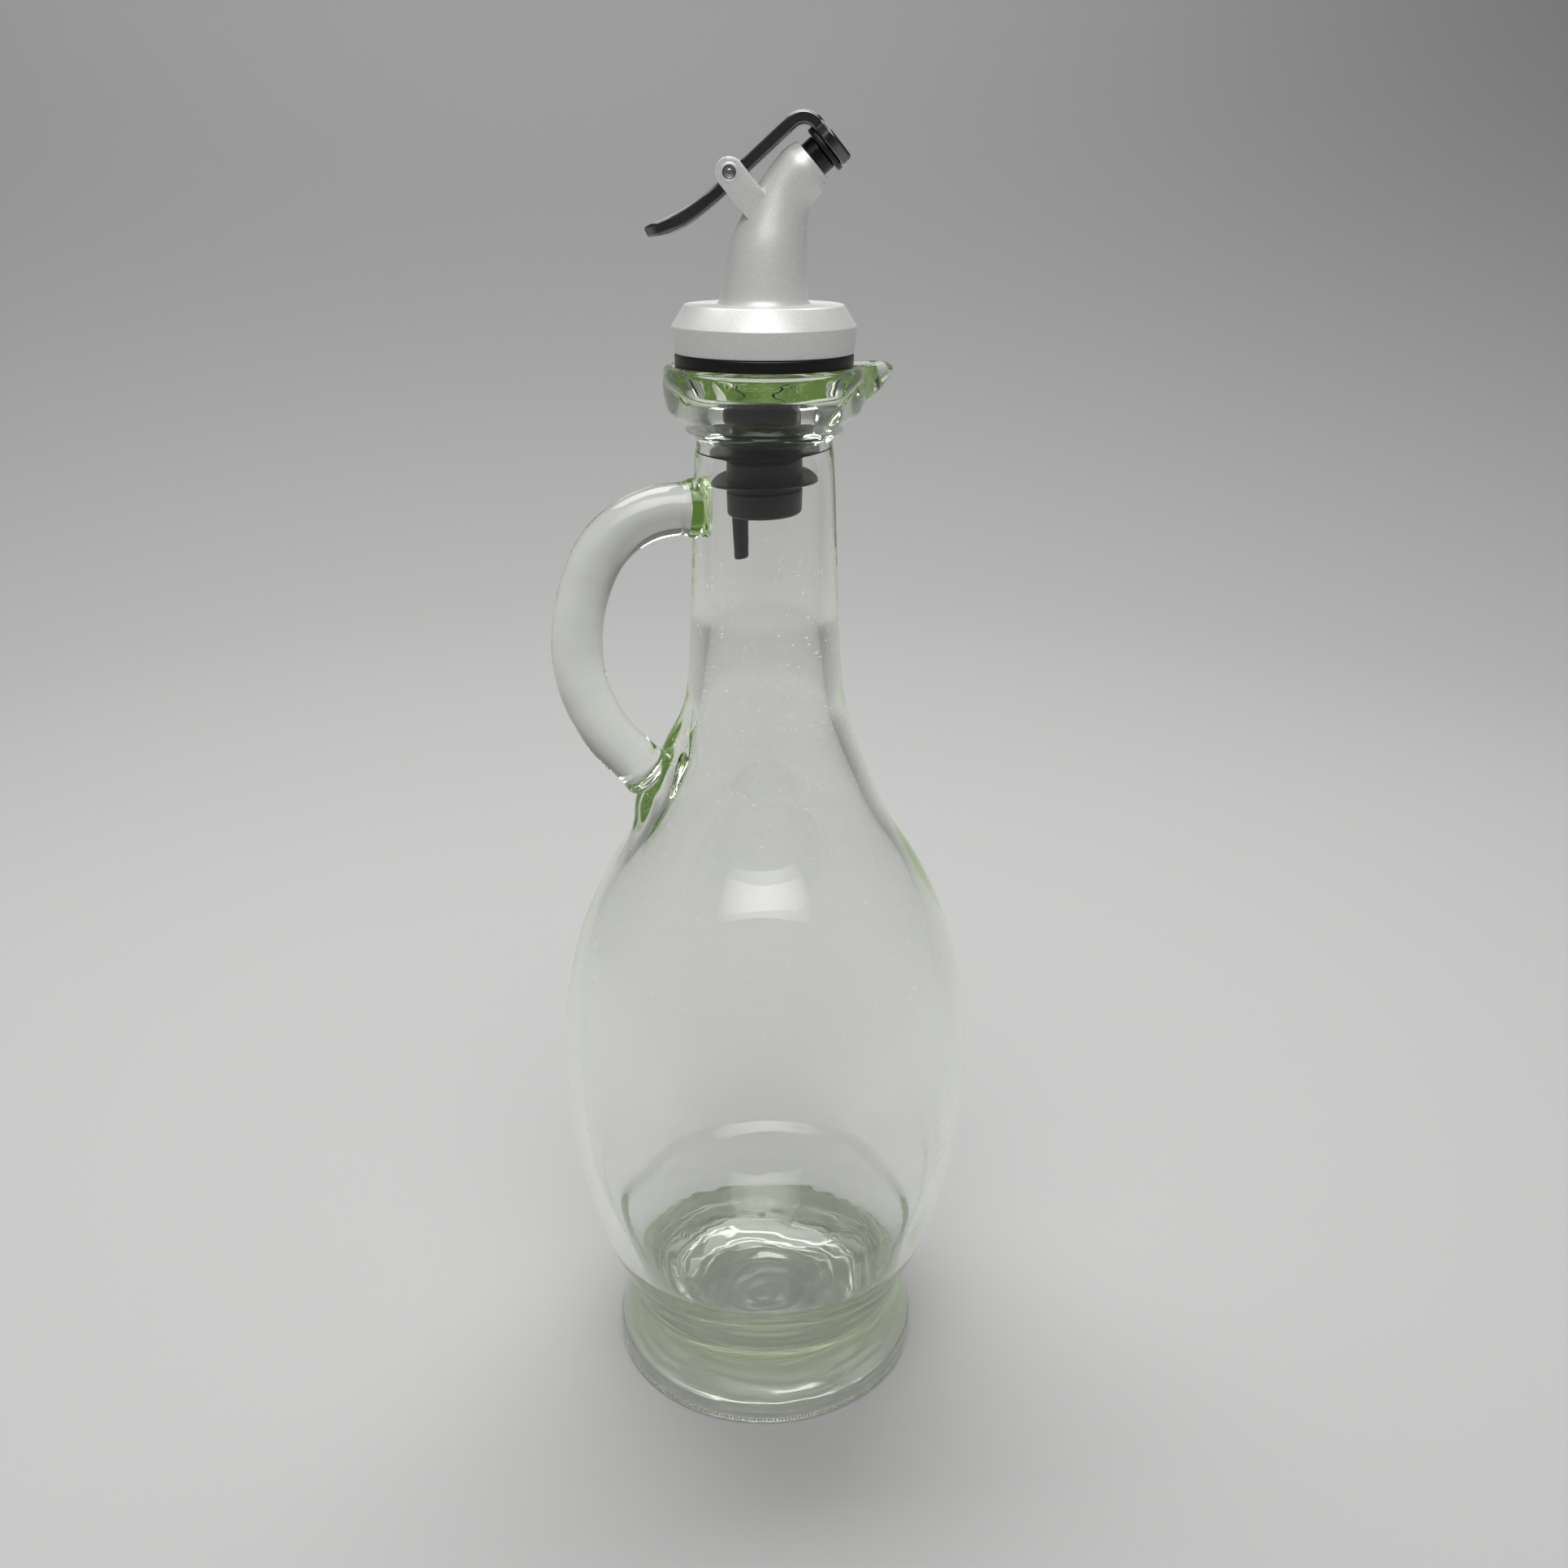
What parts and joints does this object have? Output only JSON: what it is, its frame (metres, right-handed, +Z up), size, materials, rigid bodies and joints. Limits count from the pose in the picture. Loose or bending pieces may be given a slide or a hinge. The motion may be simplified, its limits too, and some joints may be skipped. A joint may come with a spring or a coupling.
{
  "type": "oil cruet",
  "caption": "Glass oil cruet with a fused side handle and pouring lip, closed by a lever pourer with a sprung cap on a finned rubber stopper.",
  "frame": {"origin": "on the bottle's axis at the level of the table it stands on", "axes": "+Z up the bottle's axis, handle on -X, glass pouring lip on +X; the pourer's spout is turned 12 degrees from +X towards -Y at rest"},
  "size_m": [0.0904, 0.0904, 0.2721],
  "materials": {
    "clear_glass": "clear soda-lime glass with a faint green tint, deep green where it is thick",
    "black_rubber": "matt moulded rubber",
    "black_plastic": "glossy moulded polypropylene",
    "silver_plastic": "silver metallic paint on moulded ABS",
    "steel": "bright drawn stainless steel",
    "chrome_plate": "bright chrome plate on moulded ABS"
  },
  "bodies": {
    "bottle": {"bottle": "clear_glass", "handle": "clear_glass"},
    "gasket": {"gasket": "black_rubber"},
    "pourer": {"stopper": "black_rubber", "insert": "black_plastic", "vent_tube": "black_plastic", "housing": "silver_plastic", "nozzle_tube": "black_plastic", "hinge_pin": "steel", "torsion_spring": "steel"},
    "lever": {"lever": "chrome_plate", "lever_seal": "black_rubber"}
  },
  "joints": [
    {"name": "pourer_lift", "type": "slide", "parent": "bottle", "child": "gasket", "axis": [0, 0, 1], "range_m": [0, 0.06]},
    {"name": "pourer_turn", "type": "hinge", "parent": "gasket", "child": "pourer", "pos_m": [0, 0, 0.22985], "axis": [0, 0, 1], "continuous": true},
    {"name": "lever_hinge", "type": "hinge", "parent": "pourer", "child": "lever", "pos_m": [-0.00596, 0.00127, 0.26117], "axis": [-0.2079, -0.9781, 0], "range_deg": [0, 32], "stiffness_Nm_per_rad": 0.02, "springref_deg": -34.38, "deforming": ["torsion_spring"]}
  ]
}
